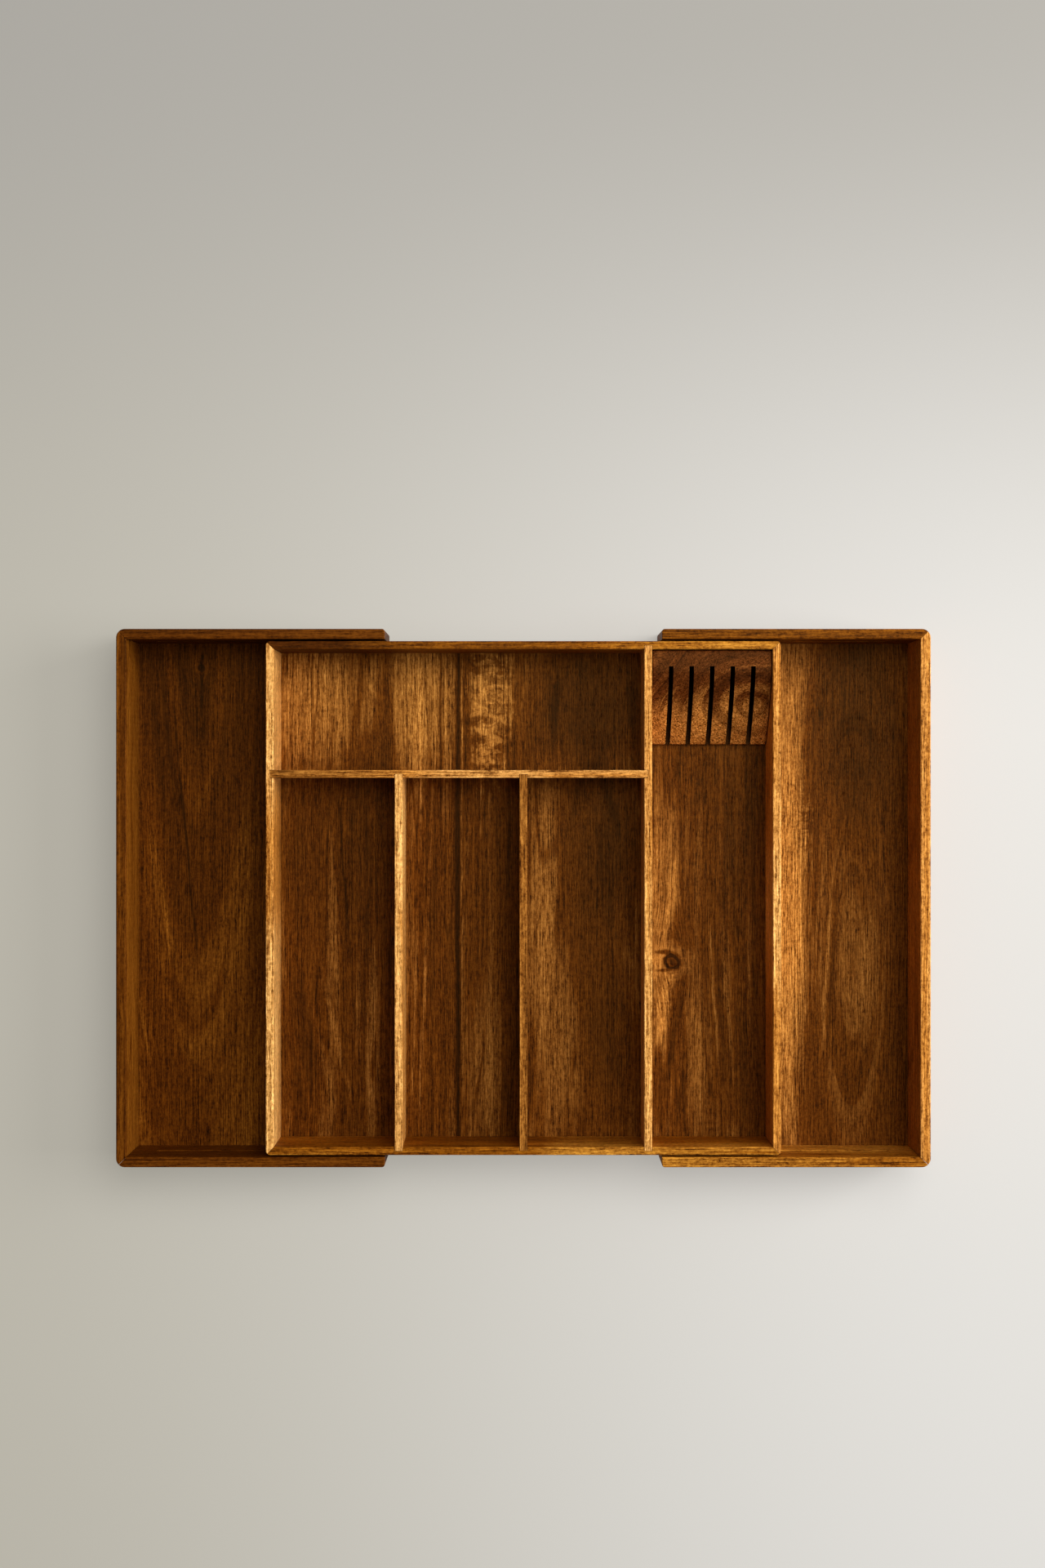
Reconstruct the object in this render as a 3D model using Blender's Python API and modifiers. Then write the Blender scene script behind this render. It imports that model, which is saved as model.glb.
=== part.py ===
"""Expandable cutlery tray in solid hardwood, lying flat and pulled out to its full width.

A middle tray, with mitred walls, dadoed dividers and a loose knife block, stands between two
U-shaped extension trays. Dowel pins in its front and back walls run in stopped grooves in the
extensions' arms. Metres, +Z up, +X to the right along the pull, +Y towards the back. The origin
is the centre of the footprint, on the surface that the tray lies on.
"""

import math

import bmesh
import bpy
from mathutils import Matrix, Vector
from mathutils.geometry import interpolate_bezier

# Whole tray
TRAY_DEPTH = 0.370
CLOSED_WIDTH = 0.370
TRAVEL = 0.095
TRAY_HEIGHT = 0.054

# Clearances between the trays that slide past each other
ARM_GAP = 0.0014
END_GAP = 0.0009
RIDE_GAP = 0.0005
MEETING_GAP = 0.0006

# Joinery: glue lines, and how much of a wall a rebate or a dado takes
GLUE_LINE = 0.0002
REBATE_SHARE = 0.55
DADO_SHARE = 0.5
EASE = 0.0006

# Extension trays
EXTENSION_WALL = 0.007
EXTENSION_FLOOR = 0.004
EXTENSION_CORNER = 0.006
ARM_TIP_CORNER = 0.002

# Middle tray
WALL = 0.0056
FLOOR = 0.004
CORNER = 0.003

# Dividers: the outer bays are the left, the right and the back one
DIVIDER = 0.0054
OUTER_BAY = 0.083

# Guide pins and the stopped grooves that they run in
PIN_DIAMETER = 0.004
PIN_INSET = 0.018
PIN_SKIN = 0.0016
PIN_FIT = 0.00015
PIN_CHAMFER = 0.0004
GROOVE_SHARE = 0.5
GROOVE_CLEARANCE = 0.0005

# Knife block
BLOCK_LENGTH = 0.064
BLOCK_FLAT = 0.013
BLOCK_TOE = 0.005
BLOCK_BELOW_RIM = 0.002
BLOCK_PLAY = 0.0006
BLOCK_SEAT = 0.0003
BLOCK_CORNER = 0.002
BLOCK_EASE = 0.0008
RAMP_HANDLE_SHARES = ((0.2, 0.0), (0.74, 0.62))
SLOT_COUNT = 5
SLOT_WIDTH = 0.0031
SLOT_WEB = 0.011
SLOT_FLOOR = 0.003

# Drawing
OVERRUN = 0.010
WELD = 0.00001
CORNER_STEPS = 8
RAMP_STEPS = 16
ROUND_SIDES = 32
SMOOTH_ANGLE = math.radians(30)
FLAT_ANGLE = math.radians(0.5)

# Finish of the oiled wood: colours as linear red, green and blue, and one roughness
AMBER = (0.36, 0.15, 0.035)
GOLD = (0.50, 0.24, 0.07)
RED_BROWN = (0.15, 0.055, 0.016)
BROWN = (0.13, 0.050, 0.014)
DARK_FIGURED = (0.10, 0.035, 0.012)
PALE_DOWEL = (0.55, 0.36, 0.18)
SATIN_ROUGHNESS = 0.42

# Places that follow from the sizes above
REST_HALF_WIDTH = CLOSED_WIDTH / 2 + TRAVEL
HALF_DEPTH = TRAY_DEPTH / 2
ARM_LENGTH = (CLOSED_WIDTH - MEETING_GAP) / 2
EXTENSION_REBATE = EXTENSION_WALL * REBATE_SHARE
GROOVE_DEPTH = EXTENSION_WALL * GROOVE_SHARE
MIDDLE_X = CLOSED_WIDTH / 2 - EXTENSION_WALL - END_GAP
MIDDLE_Y = HALF_DEPTH - EXTENSION_WALL - ARM_GAP
INNER_X = MIDDLE_X - WALL
INNER_Y = MIDDLE_Y - WALL
MIDDLE_BOTTOM = EXTENSION_FLOOR + RIDE_GAP
FLOOR_TOP = MIDDLE_BOTTOM + FLOOR
DIVIDER_BOTTOM = FLOOR_TOP + GLUE_LINE
WALL_REBATE = WALL * REBATE_SHARE
WALL_DADO = WALL * DADO_SHARE
DIVIDER_DADO = DIVIDER * DADO_SHARE
LONG_DIVIDER_X = INNER_X - OUTER_BAY - DIVIDER / 2
LEFT_DIVIDER_X = -INNER_X + OUTER_BAY + DIVIDER / 2
CENTRE_DIVIDER_X = (LEFT_DIVIDER_X + LONG_DIVIDER_X) / 2
CROSS_DIVIDER_Y = INNER_Y - OUTER_BAY - DIVIDER / 2
PIN_LEVEL = TRAY_HEIGHT / 2
PIN_X = MIDDLE_X - PIN_INSET


def make_collection(name):
    """A new collection in the scene."""
    collection = bpy.data.collections.new(name)
    bpy.context.scene.collection.children.link(collection)
    return collection


def add_piece(name, mesh, colour, parent=None):
    """A piece of the tray, with a finish of its own."""
    mesh.name = name
    mesh.shade_smooth()
    mesh.set_sharp_from_angle(angle=SMOOTH_ANGLE)
    finish = bpy.data.materials.new(name)
    finish.use_nodes = True
    shader = finish.node_tree.nodes["Principled BSDF"]
    shader.inputs["Base Color"].default_value = (*colour, 1)
    shader.inputs["Roughness"].default_value = SATIN_ROUGHNESS
    shader.inputs["Metallic"].default_value = 0
    mesh.materials.append(finish)
    piece = bpy.data.objects.new(name, mesh)
    piece.parent = parent
    bpy.data.collections["expandable_cutlery_tray"].objects.link(piece)
    return piece


def add_cutter(name, mesh, parent=None):
    """A tool that shapes pieces and isn't one itself."""
    mesh.name = name
    cutter = bpy.data.objects.new(name, mesh)
    cutter.parent = parent
    cutter.hide_render = True
    cutter.display_type = "WIRE"
    bpy.data.collections["cutters"].objects.link(cutter)
    return cutter


def cut(piece, cutter, operation="DIFFERENCE"):
    """Takes the cutter's shape out of a piece, or with INTERSECT keeps only that."""
    modifier = piece.modifiers.new(cutter.name, "BOOLEAN")
    modifier.operation = operation
    modifier.solver = "EXACT"
    modifier.object = cutter


def rectangle(x_low, x_high, y_low, y_high):
    """A sharp-cornered outline."""
    return [(x_low, y_low), (x_high, y_low), (x_high, y_high), (x_low, y_high)]


def rounded_outline(corners):
    """A closed outline through corners given as (x, y, radius), with arcs at the round ones."""
    outline = []
    for index, (x, y, radius) in enumerate(corners):
        corner = Vector((x, y))
        if radius == 0:
            outline.append(corner)
            continue
        back = (Vector(corners[index - 1][:2]) - corner).normalized()
        ahead = (Vector(corners[(index + 1) % len(corners)][:2]) - corner).normalized()
        half_angle = back.angle(ahead) / 2
        reach = radius / math.tan(half_angle)
        centre = corner + (back + ahead).normalized() * radius / math.sin(half_angle)
        start = corner + back * reach - centre
        end = corner + ahead * reach - centre
        sweep = math.copysign(math.pi - 2 * half_angle, start.cross(end))
        for step in range(CORNER_STEPS + 1):
            turn = Matrix.Rotation(sweep * step / CORNER_STEPS, 2)
            outline.append(centre + turn @ start)
    return outline


def stadium(x_low, x_high, y_middle, radius):
    """A slot's outline, with half round ends whose centres are at x_low and x_high."""
    outline = []
    for centre, first in ((x_high, -math.pi / 2), (x_low, math.pi / 2)):
        for step in range(ROUND_SIDES // 2 + 1):
            angle = first + math.pi * step / (ROUND_SIDES // 2)
            outline.append((centre + radius * math.cos(angle), y_middle + radius * math.sin(angle)))
    return outline


def tidy_mesh(mesh):
    """Welds the loose caps, merges the flat faces into one and points all faces out."""
    shell = bmesh.new()
    shell.from_mesh(mesh)
    bmesh.ops.remove_doubles(shell, verts=shell.verts, dist=WELD)
    bmesh.ops.dissolve_limit(shell, angle_limit=FLAT_ANGLE, verts=shell.verts, edges=shell.edges)
    bmesh.ops.recalc_face_normals(shell, faces=shell.faces)
    shell.to_mesh(mesh)
    shell.free()
    return mesh


def plate(outlines, low, high, across="Z"):
    """A board from flat outlines, the later ones holes, between two places on one axis.

    Outlines are drawn in X and Y across Z, in X and Z across Y, and in Y and Z across X.
    """
    curve = bpy.data.curves.new("outline", "CURVE")
    curve.dimensions = "2D"
    curve.fill_mode = "BOTH"
    curve.extrude = (high - low) / 2
    for outline in outlines:
        spline = curve.splines.new("POLY")
        spline.points.add(len(outline) - 1)
        spline.use_cyclic_u = True
        for point, (x, y) in zip(spline.points, outline):
            point.co = (x, y, 0, 1)
    drawn = bpy.data.objects.new("outline", curve)
    bpy.context.scene.collection.objects.link(drawn)
    depsgraph = bpy.context.evaluated_depsgraph_get()
    mesh = bpy.data.meshes.new_from_object(drawn.evaluated_get(depsgraph))
    bpy.data.objects.remove(drawn)
    bpy.data.curves.remove(curve)
    mesh.transform(Matrix.Translation((0, 0, (low + high) / 2)))
    if across == "Y":
        mesh.transform(Matrix(((1, 0, 0, 0), (0, 0, 1, 0), (0, 1, 0, 0), (0, 0, 0, 1))))
    if across == "X":
        mesh.transform(Matrix(((0, 0, 1, 0), (1, 0, 0, 0), (0, 1, 0, 0), (0, 0, 0, 1))))
    return tidy_mesh(mesh)


def box(low, high):
    """A box between two opposite corners."""
    low = Vector(low)
    high = Vector(high)
    shell = bmesh.new()
    place = Matrix.Translation((low + high) / 2) @ Matrix.Diagonal((*(high - low), 1))
    bmesh.ops.create_cube(shell, size=1, matrix=place)
    mesh = bpy.data.meshes.new("box")
    shell.to_mesh(mesh)
    shell.free()
    return mesh


def rod(x, z, radius, y_low, y_high):
    """A round rod that lies along Y."""
    shell = bmesh.new()
    place = Matrix.Translation((x, (y_low + y_high) / 2, z)) @ Matrix.Rotation(math.pi / 2, 4, "X")
    bmesh.ops.create_cone(shell, cap_ends=True, segments=ROUND_SIDES, radius1=radius,
                          radius2=radius, depth=abs(y_high - y_low), matrix=place)
    mesh = bpy.data.meshes.new("rod")
    shell.to_mesh(mesh)
    shell.free()
    return mesh


def ease_rims(mesh, width, axis=2):
    """Rounds the outlines at the two ends, along one axis, of a board, frame or block."""
    shell = bmesh.new()
    shell.from_mesh(mesh)
    rims = []
    for edge in shell.edges:
        level = abs(edge.verts[0].co[axis] - edge.verts[1].co[axis]) < WELD
        if level and edge.calc_face_angle() > SMOOTH_ANGLE:
            rims.append(edge)
    bmesh.ops.bevel(shell, geom=rims, offset=width, segments=2, profile=0.5, affect="EDGES")
    shell.to_mesh(mesh)
    shell.free()
    return mesh


def mitre_wedge(x, y, reach):
    """Plan of the stretch of a frame's side that faces +Y, cut back half a glue line each end."""
    line = GLUE_LINE / 2 * math.sqrt(2)
    return [(-x - OVERRUN + line, y + OVERRUN), (-x + reach + line, y - reach),
            (x - reach - line, y - reach), (x + OVERRUN - line, y + OVERRUN)]


def build_extension(side, end_x, turn, near_name, far_name):
    """One extension, drawn from its end wall's outer face towards the middle and then turned.

    near_name and far_name are the arms at -Y and +Y before the turn: both extensions are the
    same product, and the right one is turned round.
    """
    carrier = bpy.data.objects.new(side + "_extension", None)
    carrier.location.x = end_x
    carrier.rotation_euler.z = turn
    bpy.data.collections["expandable_cutlery_tray"].objects.link(carrier)

    y = HALF_DEPTH
    inner = y - EXTENSION_WALL
    frame = [(0, -y, EXTENSION_CORNER), (ARM_LENGTH, -y, ARM_TIP_CORNER), (ARM_LENGTH, -inner, 0),
             (EXTENSION_WALL, -inner, 0), (EXTENSION_WALL, inner, 0), (ARM_LENGTH, inner, 0),
             (ARM_LENGTH, y, ARM_TIP_CORNER), (0, y, EXTENSION_CORNER)]
    u_frame = ease_rims(plate([rounded_outline(frame)], 0, TRAY_HEIGHT), EASE)

    # The end wall lies between two mitres, and each arm beyond one of them
    line = GLUE_LINE / 2 * math.sqrt(2)
    reach = EXTENSION_WALL * 2
    far = ARM_LENGTH + OVERRUN
    wedges = {
        "end_wall": [(-OVERRUN, -y - OVERRUN + line), (reach, -y + reach + line),
                     (reach, y - reach - line), (-OVERRUN, y + OVERRUN - line)],
        near_name: [(-OVERRUN + line, -y - OVERRUN), (far, -y - OVERRUN),
                    (far, -y + reach), (reach + line, -y + reach)],
        far_name: [(-OVERRUN + line, y + OVERRUN), (far, y + OVERRUN),
                   (far, y - reach), (reach + line, y - reach)],
    }

    rebate_x = EXTENSION_WALL - EXTENSION_REBATE
    rebate_y = inner + EXTENSION_REBATE
    rebate = add_cutter(side + "_rebate_cutter",
                        box((rebate_x, -rebate_y, -OVERRUN),
                            (far, rebate_y, EXTENSION_FLOOR + GLUE_LINE)), carrier)

    # The groove is as long as the pull, and stops the pin at both ends
    pin_at_rest = REST_HALF_WIDTH - PIN_X
    groove = stadium(pin_at_rest - TRAVEL, pin_at_rest, PIN_LEVEL,
                     PIN_DIAMETER / 2 + GROOVE_CLEARANCE)

    for part, wedge in wedges.items():
        wall = add_piece(f"{side}_{part}", u_frame.copy(), AMBER, carrier)
        cutter = add_cutter(f"{side}_{part}_mitre_cutter",
                            plate([wedge], -OVERRUN, TRAY_HEIGHT + OVERRUN), carrier)
        cut(wall, cutter, "INTERSECT")
        cut(wall, rebate)
        if part != "end_wall":
            facing = -1 if part == near_name else 1
            groove_y = sorted((facing * (inner - OVERRUN), facing * (inner + GROOVE_DEPTH)))
            cutter = add_cutter(f"{side}_{part}_groove_cutter",
                                plate([groove], *groove_y, across="Y"), carrier)
            cut(wall, cutter)
    bpy.data.meshes.remove(u_frame)

    # The floor panel fills the rebates and has an eased edge where the middle tray slides in
    section = rounded_outline([(rebate_x + GLUE_LINE, 0, 0), (ARM_LENGTH, 0, EASE),
                               (ARM_LENGTH, EXTENSION_FLOOR, EASE),
                               (rebate_x + GLUE_LINE, EXTENSION_FLOOR, 0)])
    panel_y = rebate_y - GLUE_LINE
    add_piece(side + "_floor", plate([section], -panel_y, panel_y, across="Y"), RED_BROWN, carrier)


def build_middle_walls():
    """The four mitred walls of the middle tray, with rebates, dados and pin holes."""
    outer = rounded_outline([(x, y, CORNER) for x, y in
                             rectangle(-MIDDLE_X, MIDDLE_X, -MIDDLE_Y, MIDDLE_Y)])
    hollow = rectangle(-INNER_X, INNER_X, -INNER_Y, INNER_Y)
    ring = ease_rims(plate([outer, hollow], MIDDLE_BOTTOM, TRAY_HEIGHT), EASE)

    rebate_x = INNER_X + WALL_REBATE
    rebate_y = INNER_Y + WALL_REBATE
    rebate = add_cutter("middle_rebate_cutter",
                        box((-rebate_x, -rebate_y, MIDDLE_BOTTOM - OVERRUN),
                            (rebate_x, rebate_y, FLOOR_TOP + GLUE_LINE)))

    reach = WALL * 2
    across = mitre_wedge(MIDDLE_X, MIDDLE_Y, reach)
    along = mitre_wedge(MIDDLE_Y, MIDDLE_X, reach)
    wedges = {
        "back_wall": across,
        "front_wall": [(x, -y) for x, y in across],
        "right_wall": [(y, x) for x, y in along],
        "left_wall": [(-y, x) for x, y in along],
    }
    walls = {}
    for part, wedge in wedges.items():
        walls[part] = add_piece("middle_" + part, ring.copy(), GOLD)
        cutter = add_cutter(f"middle_{part}_mitre_cutter",
                            plate([wedge], -OVERRUN, TRAY_HEIGHT + OVERRUN))
        cut(walls[part], cutter, "INTERSECT")
        cut(walls[part], rebate)
    bpy.data.meshes.remove(ring)

    # Pin holes, drilled from outside and stopped short of the bays
    hole_radius = PIN_DIAMETER / 2 + PIN_FIT
    for part, facing in (("front_wall", -1), ("back_wall", 1)):
        for x in (-PIN_X, PIN_X):
            hole_y = sorted((facing * (INNER_Y + PIN_SKIN), facing * (MIDDLE_Y + OVERRUN)))
            hole = rod(x, PIN_LEVEL, hole_radius, *hole_y)
            cut(walls[part], add_cutter(f"middle_{part}_pin_hole_cutter", hole))
    return walls


def cut_dado(piece, x_low, x_high, y_low, y_high):
    """A housing for a divider's end, open at the rim and at the floor panel."""
    bottom = MIDDLE_BOTTOM + FLOOR / 2
    dado = box((x_low, y_low, bottom), (x_high, y_high, TRAY_HEIGHT + OVERRUN))
    cut(piece, add_cutter(piece.name + "_dado_cutter", dado))


def divider_section(middle):
    """Cross-section of a divider, its upper edges eased like the rims."""
    half = DIVIDER / 2
    return rounded_outline([(middle - half, DIVIDER_BOTTOM, 0), (middle + half, DIVIDER_BOTTOM, 0),
                            (middle + half, TRAY_HEIGHT, EASE), (middle - half, TRAY_HEIGHT, EASE)])


def build_dividers(walls):
    """Four dividers, each let half way into what it meets."""
    half = DIVIDER / 2
    housing = half + GLUE_LINE
    long_left = LONG_DIVIDER_X - half
    cross_front = CROSS_DIVIDER_Y - half
    end_y = INNER_Y + WALL_DADO - GLUE_LINE

    long_divider = add_piece("long_divider", plate([divider_section(LONG_DIVIDER_X)],
                                                   -end_y, end_y, across="Y"), GOLD)
    cross_low = -INNER_X - WALL_DADO + GLUE_LINE
    cross_high = long_left + DIVIDER_DADO - GLUE_LINE
    cross_divider = add_piece("cross_divider", plate([divider_section(CROSS_DIVIDER_Y)],
                                                     cross_low, cross_high, across="X"), GOLD)
    short_high = cross_front + DIVIDER_DADO - GLUE_LINE
    for name, x in (("left_divider", LEFT_DIVIDER_X), ("centre_divider", CENTRE_DIVIDER_X)):
        add_piece(name, plate([divider_section(x)], -end_y, short_high, across="Y"), GOLD)
        cut_dado(cross_divider, x - housing, x + housing,
                 cross_front - OVERRUN, cross_front + DIVIDER_DADO)

    for x in (LEFT_DIVIDER_X, CENTRE_DIVIDER_X, LONG_DIVIDER_X):
        cut_dado(walls["front_wall"], x - housing, x + housing,
                 -INNER_Y - WALL_DADO, -INNER_Y + OVERRUN)
    cut_dado(walls["back_wall"], LONG_DIVIDER_X - housing, LONG_DIVIDER_X + housing,
             INNER_Y - OVERRUN, INNER_Y + WALL_DADO)
    cut_dado(walls["left_wall"], -INNER_X - WALL_DADO, -INNER_X + OVERRUN,
             CROSS_DIVIDER_Y - housing, CROSS_DIVIDER_Y + housing)
    cut_dado(long_divider, long_left - OVERRUN, long_left + DIVIDER_DADO,
             CROSS_DIVIDER_Y - housing, CROSS_DIVIDER_Y + housing)


def build_middle_floor():
    """The floor panel, let into the four walls' rebates."""
    x = INNER_X + WALL_REBATE - GLUE_LINE
    y = INNER_Y + WALL_REBATE - GLUE_LINE
    add_piece("middle_floor", box((-x, -y, MIDDLE_BOTTOM), (x, y, FLOOR_TOP)), BROWN)


def build_pins():
    """Four dowel pins, from the middle tray's walls into the arms' grooves."""
    groove_bottom = HALF_DEPTH - EXTENSION_WALL + GROOVE_DEPTH
    inner_end = INNER_Y + PIN_SKIN + GLUE_LINE
    outer_end = groove_bottom - GROOVE_CLEARANCE
    for row, facing in (("front", -1), ("back", 1)):
        for side, x in (("left", -PIN_X), ("right", PIN_X)):
            ends = sorted((facing * inner_end, facing * outer_end))
            pin = add_piece(f"{row}_{side}_pin", rod(x, PIN_LEVEL, PIN_DIAMETER / 2, *ends),
                            PALE_DOWEL)
            bevel = pin.modifiers.new("chamfer", "BEVEL")
            bevel.limit_method = "ANGLE"
            bevel.angle_limit = SMOOTH_ANGLE
            bevel.width = PIN_CHAMFER
            bevel.segments = 1


def build_knife_block():
    """The loose block: a flat top that runs down in a curved ramp, with slots for blades."""
    x_low = LONG_DIVIDER_X + DIVIDER / 2 + BLOCK_PLAY
    x_high = INNER_X - BLOCK_PLAY
    back = INNER_Y - BLOCK_PLAY
    front = back - BLOCK_LENGTH
    bottom = FLOOR_TOP + BLOCK_SEAT
    top = TRAY_HEIGHT - BLOCK_BELOW_RIM

    crown = Vector((back - BLOCK_FLAT, top))
    toe = Vector((front, bottom + BLOCK_TOE))
    fall = toe - crown
    handles = [Vector((crown.x + fall.x * run_share, crown.y + fall.y * drop_share))
               for run_share, drop_share in RAMP_HANDLE_SHARES]
    ramp = interpolate_bezier(crown, handles[0], handles[1], toe, RAMP_STEPS + 1)
    corners = [(front, bottom, 0), (back, bottom, 0), (back, top, BLOCK_CORNER)]
    corners += [(point.x, point.y, 0) for point in ramp[:-1]]
    corners.append((toe.x, toe.y, BLOCK_CORNER))

    carrier = bpy.data.objects.new("knife_block_lift", None)
    carrier.location = ((x_low + x_high) / 2, (back + front) / 2, bottom)
    bpy.data.collections["expandable_cutlery_tray"].objects.link(carrier)
    to_carrier = Matrix.Translation(-carrier.location)

    mesh = ease_rims(plate([rounded_outline(corners)], x_low, x_high, across="X"), BLOCK_EASE, 0)
    mesh.transform(to_carrier)
    block = add_piece("knife_block", mesh, DARK_FIGURED, carrier)

    # Slots share the width evenly, and leave a web behind them and a floor below
    pitch = (x_high - x_low + SLOT_WIDTH) / (SLOT_COUNT + 1)
    for index in range(SLOT_COUNT):
        middle = x_low - SLOT_WIDTH / 2 + pitch * (index + 1)
        slot = box((middle - SLOT_WIDTH / 2, front - OVERRUN, bottom + SLOT_FLOOR),
                   (middle + SLOT_WIDTH / 2, back - SLOT_WEB, top + OVERRUN))
        slot.transform(to_carrier)
        cut(block, add_cutter(f"knife_slot_cutter_{index + 1}", slot, carrier))


def build_tray():
    """The whole tray."""
    for item in list(bpy.data.objects):
        bpy.data.objects.remove(item)
    make_collection("expandable_cutlery_tray")
    make_collection("cutters")
    build_extension("left", -REST_HALF_WIDTH, 0, "front_arm", "back_arm")
    build_extension("right", REST_HALF_WIDTH, math.pi, "back_arm", "front_arm")
    build_dividers(build_middle_walls())
    build_middle_floor()
    build_pins()
    build_knife_block()


build_tray()
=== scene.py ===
"""Looks of the expandable cutlery tray: oiled, figured hardwood on a pale studio floor.

Every piece keeps its solid from the frame and gets a finish of its own, because each was sawn from
another board. A finish is built from a few effects, each a node group: how the grain runs, growth
zones, fibres and pores, curl, knots, edges lighter from rubbing and from a painted highlight, and
the oil's sheen. Lengths are in metres.
"""
import math

import bpy
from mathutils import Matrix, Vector

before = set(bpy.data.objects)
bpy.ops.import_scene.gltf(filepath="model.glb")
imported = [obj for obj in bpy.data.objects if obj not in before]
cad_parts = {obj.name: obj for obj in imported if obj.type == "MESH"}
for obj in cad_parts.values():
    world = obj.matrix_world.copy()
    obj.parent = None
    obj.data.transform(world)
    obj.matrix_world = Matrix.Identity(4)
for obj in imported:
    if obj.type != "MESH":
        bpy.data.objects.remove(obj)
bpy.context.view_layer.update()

# Camera, straight above the tray
CAMERA_PLACE = (-0.0006, 0.0784, 1.55)
CAMERA_LENS = 50
SENSOR_WIDTH = 36

# Studio
KEY_PLACE = (2.00, 0.35, 1.17)
KEY_SIZE = 1.4
KEY_POWER = 42
TOP_PLACE = (0.51, 0.60, 1.95)
TOP_SIZE = 1.4
TOP_POWER = 27
FILL_LIGHT = (0.10, 0.10, 0.10, 1)
BACKDROP = (0.66, 0.63, 0.57, 1)
FLOOR_SIZE = 12
FLOOR_LEVEL = -0.0002
# Floor colours with painted light falloff: shaded on the left and at the back, lit on the right
FLOOR_LEFT_SHADED = (0.58, 0.55, 0.47, 1)
FLOOR_RIGHT_LIT = (0.78, 0.76, 0.72, 1)
FLOOR_BACK_SHADED = (0.46, 0.44, 0.40, 1)

# Where the floor's colour changes, from left to right and from front to back: painted light
# falloff, darker on the left and at the back, lighter on the right
FLOOR_SIDES = (-0.42, 0.36)
FLOOR_DEPTHS = (0.10, 0.65)

# Shares of the floor's colour that are lit and that glow, where the camera sees it
LIT_SHARE = (0.5, 0.5, 0.5, 1)
GLOW_SHARE = (0.5, 0.5, 0.5, 1)
WHITE = (1, 1, 1, 1)
BLACK = (0, 0, 0, 1)

# Noise seeds are spread by this much, so that no two boards show the same wood
SEED_STEP = 3.17


class Net:
    """Adds nodes to one node tree and wires each as it is added."""

    def __init__(self, tree):
        self.tree = tree

    def add(self, kind, inputs=None, **settings):
        """A node with its settings. Inputs go by name or number, as plain values or sockets."""
        node = self.tree.nodes.new(kind)
        for name, value in settings.items():
            setattr(node, name, value)
        self.fill(node, inputs or {})
        return node

    def fill(self, node, inputs):
        """Sets a node's inputs, to plain values or to other nodes' outputs."""
        for key, value in inputs.items():
            if isinstance(value, bpy.types.NodeSocket):
                self.tree.links.new(value, node.inputs[key])
            else:
                node.inputs[key].default_value = value

    def calc(self, operation, *values, clamp=False):
        """A sum on numbers."""
        node = self.add("ShaderNodeMath", dict(enumerate(values)), operation=operation)
        node.use_clamp = clamp
        return node.outputs[0]

    def split(self, vector):
        """The three parts of a vector."""
        return self.add("ShaderNodeSeparateXYZ", {0: vector}).outputs

    def join(self, x, y, z):
        """A vector from its three parts."""
        return self.add("ShaderNodeCombineXYZ", {0: x, 1: y, 2: z}).outputs[0]

    def stretch(self, vector, scales, seed):
        """A place scaled along each axis and moved to another part of the noise."""
        scaled = self.add("ShaderNodeVectorMath", {0: vector, 1: scales}, operation="MULTIPLY")
        start = self.join(seed, seed, seed)
        moved = self.add("ShaderNodeVectorMath", {0: scaled.outputs[0], 1: start}, operation="ADD")
        return moved.outputs[0]

    def noise(self, vector, detail=1, roughness=0.5, distortion=0):
        """Smooth noise from 0 to 1."""
        values = {"Vector": vector, "Scale": 1, "Detail": detail, "Roughness": roughness,
                  "Distortion": distortion}
        return self.add("ShaderNodeTexNoise", values).outputs[0]

    def remap(self, value, low, high, to_low=0, to_high=1, smooth=True):
        """A value moved from one range to another and kept inside it."""
        kind = "SMOOTHSTEP" if smooth else "LINEAR"
        node = self.add("ShaderNodeMapRange", {0: value, 1: low, 2: high, 3: to_low, 4: to_high},
                        interpolation_type=kind)
        return node.outputs[0]

    def mix(self, factor, first, second, blend="MIX"):
        """Two colours mixed."""
        node = self.add("ShaderNodeMix", {0: factor, 6: first, 7: second}, data_type="RGBA",
                        blend_type=blend)
        return node.outputs[2]

    def effect(self, name, inputs):
        """A node group, placed with its own values."""
        node = self.add("ShaderNodeGroup", inputs, node_tree=bpy.data.node_groups[name])
        return node.outputs


SOCKET_KINDS = {float: "NodeSocketFloat", tuple: "NodeSocketColor", Vector: "NodeSocketVector"}


def start_effect(name, inputs, outputs):
    """A new node group with named inputs and outputs. Each input comes with its usual value."""
    tree = bpy.data.node_groups.new(name, "ShaderNodeTree")
    for label, usual in inputs.items():
        kind = SOCKET_KINDS[type(usual)]
        socket = tree.interface.new_socket(label, in_out="INPUT", socket_type=kind)
        socket.default_value = usual
    for label, kind in outputs.items():
        tree.interface.new_socket(label, in_out="OUTPUT", socket_type="NodeSocket" + kind)
    entry = tree.nodes.new("NodeGroupInput").outputs
    result = tree.nodes.new("NodeGroupOutput").inputs
    return Net(tree), entry, result


def wire(net, result, **values):
    """Connects values to a group's outputs."""
    for name, value in values.items():
        net.tree.links.new(value, result[name])


# Effects

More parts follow.
